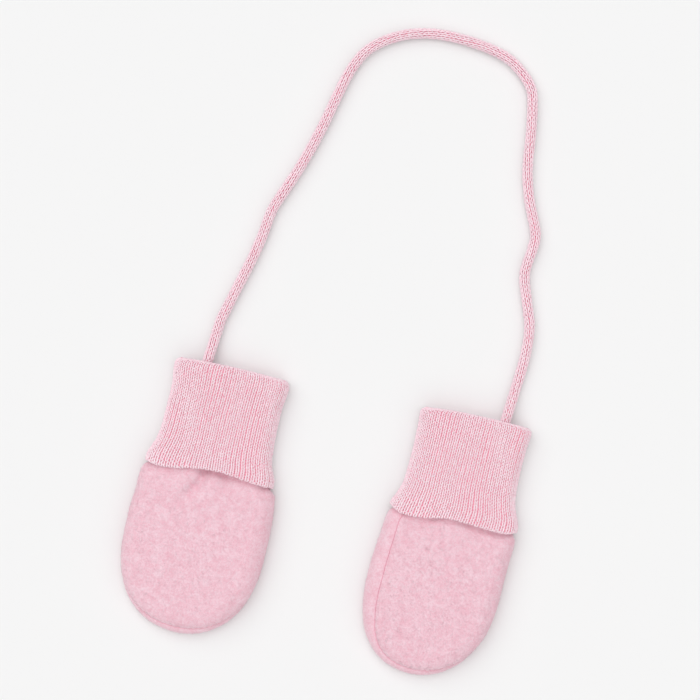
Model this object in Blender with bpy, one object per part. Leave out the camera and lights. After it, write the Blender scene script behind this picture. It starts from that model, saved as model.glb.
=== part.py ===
"""A pair of thumbless baby mittens, joined by a round knitted cord, lying flat on a table.

Each mitten is a bag of two fleece panels, sewn together round the sides and the toe, with a rib cuff
on its mouth. The rib is doubled: it is folded at the mouth, and its outer layer ends in a free,
wavy rim that hangs over the fleece. The cord runs from one cuff's mouth to the other's.

Units are metres, +Z is up and the mittens rest on z = 0. A mitten's own frame has its mouth towards
+Y and its toe towards -Y, and the two mittens are then placed and turned in the shared frame.
"""
import math

import bmesh
import bpy
from mathutils import Matrix, Vector

MM = 0.001

# Cloth
FLEECE = 2.2 * MM               # one layer of brushed fleece
RIB = 1.2 * MM                  # one layer of rib knit
CUFF_WALL = 2 * RIB             # the rib is doubled down to the fleece
GAP = 0.3 * MM                  # between sewn pieces
LIP = 1.1 * MM                  # radius of a panel's edge where it turns into the seam

# Cuff, along the mitten
FLEECE_TOP_Y = 18.2 * MM        # the fleece ends here, inside the cuff
RIM_Y = 13.0 * MM               # mean place of the rib's free rim
RIM_FADE = 9.0 * MM             # the rim's waves die out over this length of cuff
CUFF_ROUND_TOP = 6.5 * MM       # how far in the cuff's upper rounding reaches
CUFF_ROUND_LOW = 4.5 * MM       # how far in its lower rounding reaches
CUFF_CROWN = 0.3 * MM           # the cuff's top is this much higher in its middle

# Bag
TOE_START_Y = -21.0 * MM        # the toe's curve starts here
TOE_Y = -70.8 * MM
TOE_POWER = 2.6                 # 2 is an ellipse, more is a blunter toe
RIM_ROUND_TOP = 10.0 * MM       # how far in the bag's upper rounding reaches
RIM_ROUND_LOW = 5.0 * MM        # how far in its lower rounding reaches
WIDEST_HEIGHT = 0.37            # the widest line, as a part of the height
BAG_CROWN = 0.5 * MM
NECK_SPRING = 14.0 * MM         # past the rim the fleece springs up over this length
NECK_DROP = 9.0 * MM            # and its underside comes down over this one
NECK_CLEAR = 0.7 * MM           # the fleece stays under the rib until this far past the rim
NECK_GAP = 0.45 * MM            # between the fleece and the rib over it

CORD_DIAMETER = 5.6 * MM
CORD_POINTS = 78
CORD_INSERT = 13.0 * MM         # each end lies this deep in its cuff
CORD_RISE = 16.0 * MM           # it comes up off the table over this length before the mouth
CORD_CLEAR = 0.15 * MM          # between the lying cord and the table
CORD_LEAN = 0.08                # it leaves each cuff leaning this much to its right

# Facets
FLAT_STEPS = 4                  # across each half of a panel's flat
FRONT_ARC_STEPS = 4             # from the flat to the seam, on the front panel
BACK_ARC_STEPS = 6              # and on the back panel
LIP_STEPS = 2
TOE_STEPS = 12
MERGE = 0.001 * MM

# Colours, linear
FLEECE_PINK = (0.84, 0.52, 0.60)
RIB_PINK = (0.82, 0.47, 0.55)
CORD_PINK = (0.85, 0.54, 0.61)

# One mitten's sizes. Every table is in millimetres, and its first column is the place.
LEFT = {
    "place": (-62.69, 7.43),
    "turn": 13.0,               # degrees clockwise, mouth towards +Y
    "mouth_y": 70.2,            # the fold at the mouth
    "toe_drift": -0.3,          # how far the toe's tip leans to the side
    # y, half width left, half width right, height
    "cuff": [
        (69.5, 31.6, 28.9, 11.4),
        (65.5, 32.0, 29.4, 11.4),
        (56.0, 30.9, 28.3, 11.3),
        (44.0, 31.0, 28.1, 11.3),
        (31.0, 31.5, 28.7, 11.5),
        (25.0, 32.7, 29.7, 11.9),
        (19.0, 34.7, 31.9, 12.4),
        (13.0, 35.4, 32.6, 12.6),
    ],
    "bag": [
        (18.2, 32.9, 30.1, 11.0),
        (13.4, 33.6, 30.8, 11.0),
        (12.0, 34.6, 31.9, 11.2),
        (9.4, 36.3, 34.6, 11.8),
        (5.0, 36.9, 35.5, 12.2),
        (-2.0, 37.2, 36.5, 12.5),
        (-12.0, 38.0, 36.9, 12.6),
        (-21.0, 38.0, 36.8, 12.6),
        (-45.0, 38.0, 36.8, 12.2),
        (-70.0, 38.0, 36.8, 11.2),
    ],
    # x, y of the rib's free rim on top
    "rim": [(-35.4, 13.6), (-31.5, 12.8), (-26.0, 12.3), (-19.0, 13.0), (-10.0, 14.6), (0.0, 15.4),
            (11.0, 15.1), (20.0, 14.3), (27.5, 13.7), (32.6, 13.7)],
    # way round the outline from the left side to the right, seam's angle above the widest line
    "seam": [(0.0, -14.0), (0.31, -12.0), (0.40, 22.0), (0.50, 42.0), (0.60, 22.0), (0.69, -12.0),
             (1.0, -14.0)],
    "cord_in": (-15.4, 70.0),
}
RIGHT = {
    "place": (61.81, -14.77),
    "turn": 14.0,
    "mouth_y": 68.2,
    "toe_drift": -2.6,
    "cuff": [
        (69.5, 28.6, 29.6, 11.4),
        (65.5, 29.1, 30.2, 11.4),
        (56.0, 28.5, 29.5, 11.3),
        (44.0, 28.2, 29.4, 11.3),
        (31.0, 28.5, 30.2, 11.5),
        (25.0, 29.0, 31.8, 11.9),
        (19.0, 30.8, 34.3, 12.4),
        (13.0, 32.8, 34.8, 12.6),
    ],
    "bag": [
        (18.2, 28.5, 32.5, 11.0),
        (13.4, 30.1, 32.8, 11.0),
        (12.0, 30.9, 33.6, 11.2),
        (9.4, 32.3, 35.0, 11.8),
        (5.0, 33.2, 35.4, 12.2),
        (-2.0, 33.8, 35.1, 12.5),
        (-12.0, 34.7, 34.9, 12.6),
        (-21.0, 35.2, 34.8, 12.6),
        (-45.0, 35.2, 34.8, 12.2),
        (-70.0, 35.2, 34.8, 11.2),
    ],
    "rim": [(-33.0, 13.2), (-28.1, 10.3), (-20.0, 9.4), (-13.0, 10.3), (-6.5, 12.1), (2.5, 12.9),
            (11.0, 12.6), (20.0, 12.2), (28.5, 12.4), (34.8, 14.4)],
    "seam": [(0.0, 58.0), (0.12, 66.0), (0.27, 75.0), (0.36, 72.0), (0.43, 46.0), (0.50, 40.0),
             (0.58, 26.0), (0.68, -12.0), (1.0, -14.0)],
    "cord_in": (15.1, 69.0),
}

# Where the free cord runs over the table, from the left cuff to the right one: x, y in millimetres
CORD_ROUTE = [
    (-54.8, 101.4),
    (-51.2, 108.5),
    (-47.0, 116.8),
    (-39.5, 131.3),
    (-33.6, 144.4),
    (-28.6, 157.6),
    (-23.6, 165.8),
    (-12.8, 182.1),
    (-1.9, 201.9),
    (5.5, 217.4),
    (12.8, 231.4),
    (21.7, 241.8),
    (34.7, 248.1),
    (48.7, 250.4),
    (63.9, 249.0),
    (82.1, 243.6),
    (94.9, 237.1),
    (102.6, 229.0),
    (106.7, 221.6),
    (107.5, 213.8),
    (106.7, 198.2),
    (104.9, 179.4),
    (105.9, 163.3),
    (109.0, 146.7),
    (107.6, 138.3),
    (104.5, 129.6),
    (103.3, 122.2),
    (105.2, 105.3),
    (105.9, 96.2),
    (103.7, 82.3),
]


def read_table(rows, column, place):
    """A column of a table, read smoothly at a place between its rows."""
    if rows[0][0] > rows[-1][0]:
        rows = rows[::-1]
    place = min(max(place, rows[0][0]), rows[-1][0])
    k = 0
    while k < len(rows) - 2 and place > rows[k + 1][0]:
        k += 1
    before, after = rows[max(k - 1, 0)], rows[min(k + 2, len(rows) - 1)]
    start, end = rows[k], rows[k + 1]
    span = end[0] - start[0]
    slope_start = (end[column] - before[column]) / (end[0] - before[0])
    slope_end = (after[column] - start[column]) / (after[0] - start[0])
    f = (place - start[0]) / span
    return ((2 * f**3 - 3 * f**2 + 1) * start[column] + (f**3 - 2 * f**2 + f) * span * slope_start
            + (3 * f**2 - 2 * f**3) * end[column] + (f**3 - f**2) * span * slope_end)


def table(mitten, name, column, place):
    """A table's column in metres, read at a place in metres."""
    return read_table(mitten[name], column, place / MM) * MM


def ease(f):
    """0 to 1, with a flat start and end."""
    f = min(max(f, 0.0), 1.0)
    return f * f * (3 - 2 * f)


def rim_offset(mitten, x, over):
    """How far the rib's rim at x lies from its mean place: over is 1 on top and 0 underneath."""
    top = table(mitten, "rim", 1, x) - RIM_Y
    return top * (0.3 + 0.7 * over)


def cuff_section(mitten, y, inset, rim_follow):
    """One closed ring of the cuff, inset from its outer face, as points in the mitten's frame."""
    left = table(mitten, "cuff", 1, y) - inset
    right = table(mitten, "cuff", 2, y) - inset
    low, high = inset, table(mitten, "cuff", 3, y) - inset
    middle = low + WIDEST_HEIGHT * (high - low)
    top_round, low_round = CUFF_ROUND_TOP - 0.5 * inset, CUFF_ROUND_LOW - 0.5 * inset
    arc = [0.5 * math.pi * k / 4 for k in range(5)]
    flat = [k / 6 for k in range(1, 6)]
    outline = []
    for turn in arc:
        outline.append((top_round * (1 - math.cos(turn)) - left, middle + (high - middle) * math.sin(turn)))
    for f in flat:
        x = top_round - left + f * (left + right - 2 * top_round)
        outline.append((x, high + 4 * CUFF_CROWN * f * (1 - f)))
    for turn in arc[::-1]:
        outline.append((right - top_round * (1 - math.cos(turn)), middle + (high - middle) * math.sin(turn)))
    for turn in arc[1:]:
        outline.append((right - low_round * (1 - math.cos(turn)), middle - (middle - low) * math.sin(turn)))
    for f in flat:
        outline.append((right - low_round - f * (left + right - 2 * low_round), low))
    for turn in arc[:0:-1]:
        outline.append((low_round * (1 - math.cos(turn)) - left, middle - (middle - low) * math.sin(turn)))
    ring = []
    for x, z in outline:
        over = ease((z - low) / (high - low))
        ring.append(Vector((x, y + rim_follow * rim_offset(mitten, x, over), z)))
    return ring


def cuff_rings(mitten):
    """The cuff's rings: up its outer face, over the fold at the mouth and down its inner face."""
    rings = []
    for up in (0.6 * MM, 3.5 * MM, 7.0 * MM, 12.0 * MM, 21.0 * MM, 35.0 * MM, 47.0 * MM, 53.0 * MM):
        y = RIM_Y + up
        rings.append(cuff_section(mitten, y, 0.0, 1 - ease((y - RIM_Y) / RIM_FADE)))
    fold = CUFF_WALL / 2
    for k in range(0, 5):                                   # the fold is half round
        turn = math.pi * k / 4
        y = mitten["mouth_y"] * MM - fold + fold * math.sin(turn)
        rings.append(cuff_section(mitten, y, fold - fold * math.cos(turn), 0.0))
    for y in (60.0 * MM, 42.0 * MM, 28.0 * MM):
        rings.append(cuff_section(mitten, y, CUFF_WALL, 0.0))
    step = FLEECE_TOP_Y + GAP
    rings.append(cuff_section(mitten, step, CUFF_WALL, 0.0))
    rings.append(cuff_section(mitten, step, RIB, 0.0))      # from here down only one layer hangs free
    rings.append(cuff_section(mitten, 15.6 * MM, RIB, 1 - ease((15.6 * MM - RIM_Y) / RIM_FADE)))
    rings.append(cuff_section(mitten, RIM_Y + 0.4 * RIB, RIB, 1.0))
    rings.append(cuff_section(mitten, RIM_Y, 0.55 * RIB, 1.0))
    return rings


def bag_heights(mitten, row_y):
    """Underside, top and widest line of the fleece bag at a row, and how much its top is crowned."""
    past_rim = RIM_Y - row_y - NECK_CLEAR
    neck_top = table(mitten, "cuff", 3, row_y) - RIB - NECK_GAP
    neck_low = RIB + NECK_GAP
    spring = min(max(past_rim / NECK_SPRING, 0.0), 1.0)
    high = neck_top + (table(mitten, "bag", 3, row_y) - neck_top) * (1 - (1 - spring)**2.2)
    low = neck_low * (1 - ease(past_rim / NECK_DROP))
    crown = CUFF_CROWN + (BAG_CROWN - CUFF_CROWN) * spring
    return low, high, low + WIDEST_HEIGHT * (high - low), crown


def bag_stations(mitten):
    """Stations from the left of the neck round the toe to its right. Each has its point of the outline,
    its point of the spine, and the rows of these two."""
    side_rows = [18.2, 15.6, 13.2, 12.2, 9.6, 5.6, 0.0, -7.0, -14.0, -21.0]
    left_side, right_side = [], []
    for row in side_rows:
        y = row * MM
        left, right = table(mitten, "bag", 1, y), table(mitten, "bag", 2, y)
        spine = Vector(((right - left) / 2, y))
        left_side.append((Vector((-left, y)), spine, y, y))
        right_side.append((Vector((right, y)), spine, y, y))
    half = (left_side[-1][1].x - left_side[-1][0].x)
    centre = left_side[-1][1]
    toe = []
    for k in range(1, TOE_STEPS):
        turn = math.pi * k / TOE_STEPS
        down = math.sin(turn)**(2 / TOE_POWER)
        x = centre.x - half * math.cos(turn) + mitten["toe_drift"] * MM * down**2
        y = TOE_START_Y + (TOE_Y - TOE_START_Y) * down
        toe.append((Vector((x, y)), centre, TOE_START_Y, y))
    return left_side + toe + right_side[::-1]


def rim_follow(row_y):
    """How closely a row of the bag follows the waves of the rib's rim."""
    return ease((row_y - -2.0 * MM) / (9.0 * MM)) * ease((FLEECE_TOP_Y - row_y) / (2.5 * MM))


def bag_face(mitten, station, turn):
    """A point of the bag's outer face at a station. The turn is 180 on the spine on top, 90 where the
    upper rounding starts, 0 on the widest line, -90 where the lower rounding ends, -180 underneath."""
    outline, spine, row_y, height_y = station
    to_spine = spine - outline
    reach = to_spine.length
    rounding = RIM_ROUND_TOP if turn > 0 else RIM_ROUND_LOW
    angle = math.radians(min(abs(turn), 90.0))
    flat = max(abs(turn) - 90.0, 0.0) / 90.0
    distance = rounding * (1 - math.cos(angle)) + flat * (reach - rounding)
    plan = outline + to_spine * (distance / reach)
    over = 0.5 + 0.5 * math.sin(math.copysign(angle, turn))
    y = plan.y + rim_follow(row_y) * rim_offset(mitten, plan.x, over)
    low, high, middle, crown = bag_heights(mitten, height_y + (row_y - height_y) * distance / reach)
    if turn > 0:
        crowned = high + crown * (1 - (1 - distance / reach)**2)
        z = middle + (crowned - middle) * math.sin(angle)
    else:
        z = middle - (middle - low) * math.sin(angle)
    return Vector((plan.x, y, z))


def bag_frame(mitten, station, turn):
    """A point of the outer face, the way along it towards a higher turn, and the way into the cloth."""
    point = bag_face(mitten, station, turn)
    if abs(turn) == 180.0:                                  # both sides' sections meet on the spine
        return point, Vector(), Vector((0.0, 0.0, math.copysign(1.0, -turn)))
    ahead, behind = bag_face(mitten, station, turn + 0.5), bag_face(mitten, station, turn - 0.5)
    inward = (station[1] - station[0]).normalized()
    run, rise = (ahead - behind).xy.dot(inward), ahead.z - behind.z
    length = math.hypot(run, rise)
    along = Vector((inward.x * run, inward.y * run, rise)) / length
    return point, along, Vector((inward.x * rise, inward.y * rise, -run)) / length


def panel_section(mitten, station, seam, up):
    """One section of a panel: from the spine along the outer face to the seam, round the turned edge
    and back along the inner face. up is 1 for the front panel and -1 for the back panel."""
    per_metre = 2.0 / (bag_face(mitten, station, seam + 1) - bag_face(mitten, station, seam - 1)).length
    edge = seam + up * (0.5 * GAP + LIP) * per_metre
    arc_steps = FRONT_ARC_STEPS if up > 0 else BACK_ARC_STEPS
    turns = [up * (180.0 - 90.0 * k / FLAT_STEPS) for k in range(FLAT_STEPS)]
    turns += [90.0 * up + (edge - 90.0 * up) * k / arc_steps for k in range(arc_steps + 1)]
    frames = [bag_frame(mitten, station, turn) for turn in turns]
    section = [point for point, along, into in frames]
    point, along, into = bag_frame(mitten, station, seam)
    for k in range(1, LIP_STEPS + 1):
        bend = 0.5 * math.pi * k / LIP_STEPS
        from_seam = 0.5 * GAP + LIP * (1 - math.sin(bend))
        section.append(point + along * up * from_seam + into * LIP * (1 - math.cos(bend)))
    section.append(point + along * up * 0.5 * GAP + into * FLEECE)
    section += [point + into * FLEECE for point, along, into in frames[::-1]]
    return section


def close_mesh(name, rows, tube, material, mitten):
    """An object from rows of points, with its faces pointing out. A tube's rows are rings, and its last
    ring meets its first. A panel's rows start and end on its spine, and its first and last are capped."""
    mesh = bmesh.new()
    grid = [[mesh.verts.new(point) for point in row] for row in rows]
    if tube:
        grid = [row + row[:1] for row in grid]
        grid.append(grid[0])
    else:
        mesh.faces.new(grid[0])
        mesh.faces.new(grid[-1])
    for row, following in zip(grid, grid[1:]):
        for k in range(len(row) - 1):
            mesh.faces.new((row[k], row[k + 1], following[k + 1], following[k]))
    bmesh.ops.remove_doubles(mesh, verts=mesh.verts, dist=MERGE)
    bmesh.ops.dissolve_degenerate(mesh, edges=mesh.edges, dist=MERGE)
    bmesh.ops.triangulate(mesh, faces=mesh.faces)
    bmesh.ops.recalc_face_normals(mesh, faces=mesh.faces)
    data = bpy.data.meshes.new(name)
    mesh.to_mesh(data)
    mesh.free()
    data.shade_smooth()
    data.set_sharp_from_angle(angle=math.radians(50))
    piece = bpy.data.objects.new(name, data)
    piece.data.materials.append(material)
    piece.matrix_world = placement(mitten)
    bpy.context.collection.objects.link(piece)
    return piece


def placement(mitten):
    """Where a mitten's own frame lies in the shared frame."""
    x, y = mitten["place"]
    return Matrix.Translation((x * MM, y * MM, 0.0)) @ Matrix.Rotation(-math.radians(mitten["turn"]), 4, "Z")


def cloth_material(name, colour, roughness):
    """A plain dull material."""
    material = bpy.data.materials.new(name)
    material.use_nodes = True
    shader = material.node_tree.nodes["Principled BSDF"]
    shader.inputs["Base Color"].default_value = (*colour, 1.0)
    shader.inputs["Roughness"].default_value = roughness
    shader.inputs["Metallic"].default_value = 0.0
    return material


def build_mitten(side, mitten):
    """One mitten's three pieces: front panel, back panel and cuff."""
    fleece = cloth_material(side + "_fleece", FLEECE_PINK, 1.0)
    rib = cloth_material(side + "_rib", RIB_PINK, 0.9)
    stations = bag_stations(mitten)
    for panel, up in (("front", 1), ("back", -1)):
        rows = []
        for k, station in enumerate(stations):
            seam = read_table(mitten["seam"], 1, k / (len(stations) - 1))
            rows.append(panel_section(mitten, station, seam, up))
        close_mesh(f"{side}_{panel}_panel", rows, False, fleece, mitten)
    close_mesh(side + "_cuff", cuff_rings(mitten), True, rib, mitten)


def cord_end(mitten):
    """The cord's points inside a cuff and in its mouth, from the inner end outwards."""
    x, y = mitten["cord_in"]
    inside = CUFF_WALL + (table(mitten, "cuff", 3, y * MM) - 2 * CUFF_WALL) / 2
    lying = CORD_DIAMETER / 2 + CORD_CLEAR
    points = []
    for out, height in ((-CORD_INSERT, inside), (0.0, inside), (0.5 * CORD_RISE, (inside + lying) / 2),
                        (CORD_RISE, lying)):
        points.append(placement(mitten) @ Vector((x * MM + CORD_LEAN * out, y * MM + out, height)))
    return points


def smooth_curve(points, per_span):
    """Many points on a smooth curve through a few, a Catmull-Rom curve with even knots."""
    padded = [2 * points[0] - points[1]] + points + [2 * points[-1] - points[-2]]
    curve = []
    for k in range(1, len(padded) - 2):
        a, b, c, d = padded[k - 1:k + 3]
        for n in range(per_span):
            f = n / per_span
            curve.append(0.5 * (2 * b + (c - a) * f + (2 * a - 5 * b + 4 * c - d) * f**2
                                + (3 * b - a - 3 * c + d) * f**3))
    curve.append(points[-1])
    return curve


def even_points(curve, count):
    """The same curve as a number of points an even distance apart."""
    along = [0.0]
    for a, b in zip(curve, curve[1:]):
        along.append(along[-1] + (b - a).length)
    points, k = [], 0
    for n in range(count):
        place = along[-1] * n / (count - 1)
        while k < len(curve) - 2 and along[k + 1] < place:
            k += 1
        f = (place - along[k]) / (along[k + 1] - along[k])
        points.append(curve[k].lerp(curve[k + 1], min(max(f, 0.0), 1.0)))
    return points


def build_cord():
    """The knitted cord, from inside the left cuff over the table to inside the right one."""
    lying = CORD_DIAMETER / 2 + CORD_CLEAR
    route = cord_end(LEFT)
    route += [Vector((x * MM, y * MM, lying)) for x, y in CORD_ROUTE]
    route += cord_end(RIGHT)[::-1]
    points = even_points(smooth_curve(route, 12), CORD_POINTS)
    curve = bpy.data.curves.new("cord", "CURVE")
    curve.dimensions = "3D"
    spline = curve.splines.new("POLY")
    spline.points.add(len(points) - 1)
    for place, point in zip(spline.points, points):
        place.co = (*point, 1.0)
    curve.bevel_depth = CORD_DIAMETER / 2
    curve.bevel_resolution = 3
    curve.use_fill_caps = True
    cord = bpy.data.objects.new("cord", curve)
    cord.data.materials.append(cloth_material("cord_knit", CORD_PINK, 0.95))
    bpy.context.collection.objects.link(cord)


def main():
    for old in list(bpy.data.objects):
        bpy.data.objects.remove(old, do_unlink=True)
    build_mitten("left", LEFT)
    build_mitten("right", RIGHT)
    build_cord()


main()
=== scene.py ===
"""The looks of a pair of baby mittens on a knitted cord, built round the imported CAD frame.

Every cloth piece is a closed shell on its solid's form, worked out from the same sizes as the solid.
The rib cuffs and the cord carry their real stitches, two yarn legs to each V, and the fleece has its
creases, its nap and short loose fibres. Units are metres, and the mittens lie on z = 0.
"""
import math

import bmesh
import bpy
import numpy as np
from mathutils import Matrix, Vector, noise


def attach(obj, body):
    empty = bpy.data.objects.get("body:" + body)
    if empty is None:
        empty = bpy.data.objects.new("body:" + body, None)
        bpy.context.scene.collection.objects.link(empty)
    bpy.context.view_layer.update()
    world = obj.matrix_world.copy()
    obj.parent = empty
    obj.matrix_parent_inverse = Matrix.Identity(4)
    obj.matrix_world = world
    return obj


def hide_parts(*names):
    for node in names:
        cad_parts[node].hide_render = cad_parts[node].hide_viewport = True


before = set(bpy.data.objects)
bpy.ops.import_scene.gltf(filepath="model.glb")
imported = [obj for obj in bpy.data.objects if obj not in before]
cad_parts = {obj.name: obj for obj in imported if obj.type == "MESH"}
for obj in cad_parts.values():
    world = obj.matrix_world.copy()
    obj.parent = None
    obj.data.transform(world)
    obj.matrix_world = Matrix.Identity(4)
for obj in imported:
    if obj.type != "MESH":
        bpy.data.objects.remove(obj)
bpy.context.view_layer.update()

MM = 0.001
SEED = 7

# Cloth, as in the CAD
FLEECE = 2.2 * MM               # one layer of brushed fleece
RIB = 1.2 * MM                  # one layer of rib knit
CUFF_WALL = 2 * RIB             # the rib is doubled down to the fleece
GAP = 0.3 * MM                  # between sewn pieces

# Cuff, as in the CAD; a mitten's y runs from its toe to its mouth
FLEECE_TOP_Y = 18.2 * MM        # the fleece ends here, inside the cuff
RIM_Y = 13.0 * MM               # mean place of the rib's free rim
RIM_FADE = 9.0 * MM             # the rim's waves die out over this length of cuff
RIM_UNDER = 0.3                 # share of the waves that the rim has underneath
CUFF_ROUND_TOP = 6.5 * MM       # how far in the cuff's upper rounding reaches
CUFF_ROUND_LOW = 4.5 * MM       # how far in its lower rounding reaches
CUFF_CROWN = 0.3 * MM           # the cuff's top is this much higher in its middle

# Cuff, seen close
CORNER = 2.6 * MM               # how far the fold's two corners are rounded off, seen from above
CORNER_TURN = 0.92              # the part of a quarter round that each of them takes
FOLD_REACH = 34.0 * MM          # how far down the cuff the fold's uneven line is felt
RIM_EDGE = 0.8 * MM             # radius of the rim's rolled edge
RIM_PROUD = 4.5 * MM            # this much of the rim stands proud of the rest
RIM_LINING = 1.4 * MM           # depth of the shell's inner face behind the hanging rim
RIM_BARE = 1.1 * MM             # the rim's underside has no stitches, so the shell's painted shade shows there as a dark line under the rim
INNER_STEP = 2.0 * MM           # between rings of the shell's inner face
LINING_STEP = 1.0 * MM          # and behind the hanging rim
ARC_POINTS = 40                 # points on each rounding of a section
FLAT_POINTS = 81                # and on each flat

# Bag, as in the CAD
TOE_START_Y = -21.0 * MM        # the toe's curve starts here
TOE_Y = -70.8 * MM
TOE_POWER = 2.6                 # 2 is an ellipse, more is a blunter toe
RIM_ROUND_TOP = 10.0 * MM       # how far in the bag's upper rounding reaches
RIM_ROUND_LOW = 5.0 * MM        # how far in its lower rounding reaches
WIDEST_HEIGHT = 0.37            # the widest line, as a part of the height
BAG_CROWN = 0.5 * MM
NECK_SPRING = 10.0 * MM         # past the rim the fleece springs up over this length
SPRING_POWER = 2.2              # more makes it spring up sooner
NECK_DROP = 9.0 * MM            # and its underside comes down over this length
NECK_CLEAR = 0.7 * MM           # the fleece stays under the rib until this far past the rim
NECK_GAP = 0.45 * MM            # between the fleece and the rib over it
FOLLOW_START_Y = -2.0 * MM      # from here up the bag's rows take on the waves of the rim,
FOLLOW_REACH = 9.0 * MM         # over this length,
FOLLOW_END = 2.5 * MM           # and lose them again in this much below the fleece's top
SIDE_ROWS = [18.2, 15.6, 13.2, 12.2, 9.6, 5.6, 0.0, -7.0, -14.0, -21.0]     # the CAD's rows, in mm
TOE_STEPS = 12                                                              # and its steps round the toe

# Fleece, seen close
LIP = 1.1 * MM                  # radius of a panel's edge where it turns into the seam
LIP_STEPS = 6
LIP_DEPTH = 0.55 * MM           # how deep the turned edge ends
SEAM_DRAW = 0.50 * MM           # how far a seam draws the cloth in all along it
PUCKER = 0.45 * MM              # and how much further at each of its stitches
SEAM_REACH = 1.9 * MM           # how far from the seam that is felt
SEAM_STITCH = 3.3 * MM          # between a seam's stitches,
SEAM_WANDER = 7.0 * MM          # which lie a little unevenly along it
TUCK_REACH = 2.2 * MM           # how far past the rim the fleece is tucked in
FLOOR_CLEAR = 0.03 * MM
WELD = 0.004 * MM
# the fleece's lumps, in millimetres: height, size
LUMPS = [(0.06, 2.6), (0.07, 1.3), (0.14, 9.0)]
# loose fibres, from the least to the most
FIBRE_LENGTH = (0.5, 1.25)      # in millimetres
FIBRE_RADIUS = (0.05, 0.085)    # in millimetres
FIBRE_RISE = (0.12, 0.75)       # how steeply they stand, 1 being upright
FIBRE_ROOT = 0.06 * MM          # how deep they start
COMB_SIZE = 3.2 * MM            # fibres this close lie much the same way
COMB_PULL = 2.2                 # the common way against each fibre's own
COMB_STRAY = 0.45

# Cord
CORD_DIAMETER = 5.6 * MM
CORD_INSERT = 13.0 * MM         # each end lies this deep in its cuff
CORD_RISE = 16.0 * MM           # it comes up off the table over this length before the mouth
CORD_CLEAR = 0.15 * MM          # between the lying cord and the table
CORD_LEAN = 0.08                # it leaves each cuff leaning this much to its right
CORD_SKIN = 2.36 * MM           # the yarn legs' middles lie this far from the cord's middle
CORD_TWIST = 2.6                # turns in a metre
CORD_LIFT = 0.16 * MM           # the middle of a leg stands this far above its ends
CORE_DEPTH = 0.55 * MM          # the core's face lies this far below them
CORE_SIDES = 14

# Knitting
WALES = 56                      # columns of stitches round a cuff
RING_POINTS = 4 * WALES         # points of a ring of a cuff
ROW = 1.55 * MM                 # height of a row of stitches
CORD_WALES = 7
CORD_ROW = 2.4 * MM
CUFF_LIFT = 0.22 * MM
INSIDE_ROWS = 1                 # rows of stitches past the fold
STITCH_SINK = 0.5 * MM          # the stitches' middles lie this far inside the CAD's face
UNDER_STITCHES = 0.37 * MM      # and the shell this far below them

# A yarn leg, half of a stitch's V
LEG_SIDES = 5
LEG_RINGS = 4
LEG_MIDDLE = 0.237              # where a leg's middle lies, from the middle of its V, in stitches
LEG_LOW = 0.10                  # how much further in its lower end lies
LEG_HIGH = 0.12                 # and how much further out its upper end, against its neighbour's
LEG_DOWN = 0.56                 # how far it reaches down, in rows
LEG_UP = 0.56                   # and up
LEG_RADIUS = 0.19               # in stitches
STRAY_ACROSS = 0.018            # how far single legs stray, in stitches,
STRAY_ALONG = 0.045             # in rows,
STRAY_SIZE = 0.04               # and in their own size,
STRAY_HEIGHT = 0.03 * MM        # and up and down

# Pinks, from the darkest to the lightest, in screen values
YARN_PINKS = ((255, 214, 226), (255, 227, 236), (255, 241, 246))
# the rib's shell and the cord's core: pink darkened as painted shade, for the shade between the yarn legs
PAINTED_SHADE_PINKS = ((250, 156, 181), (252, 166, 190), (254, 177, 199))
FLEECE_PINKS = ((233, 179, 193), (238, 195, 207), (242, 211, 221))
# the seam's turned edges: darker, partly the seam's own flattened nap, partly painted shade in the groove
SEAM_PAINTED_SHADE_PINKS = ((232, 174, 190), (236, 183, 197), (240, 193, 206))
FIBRE_PINKS = ((238, 196, 208), (245, 214, 224), (250, 232, 238))

# Camera and light
VIEW_CENTRE = (12.31 * MM, 85.36 * MM)
VIEW_WIDTH = 364.0 * MM
VIEW_HEIGHT = 1.2               # above the middle of the mittens' thickness
MIDDLE_Z = 6.0 * MM
SKY = 0.42
KEY = 1.62
FILL = 0.77
SPREAD = 75.0                   # degrees of sky that each broad light fills

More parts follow.
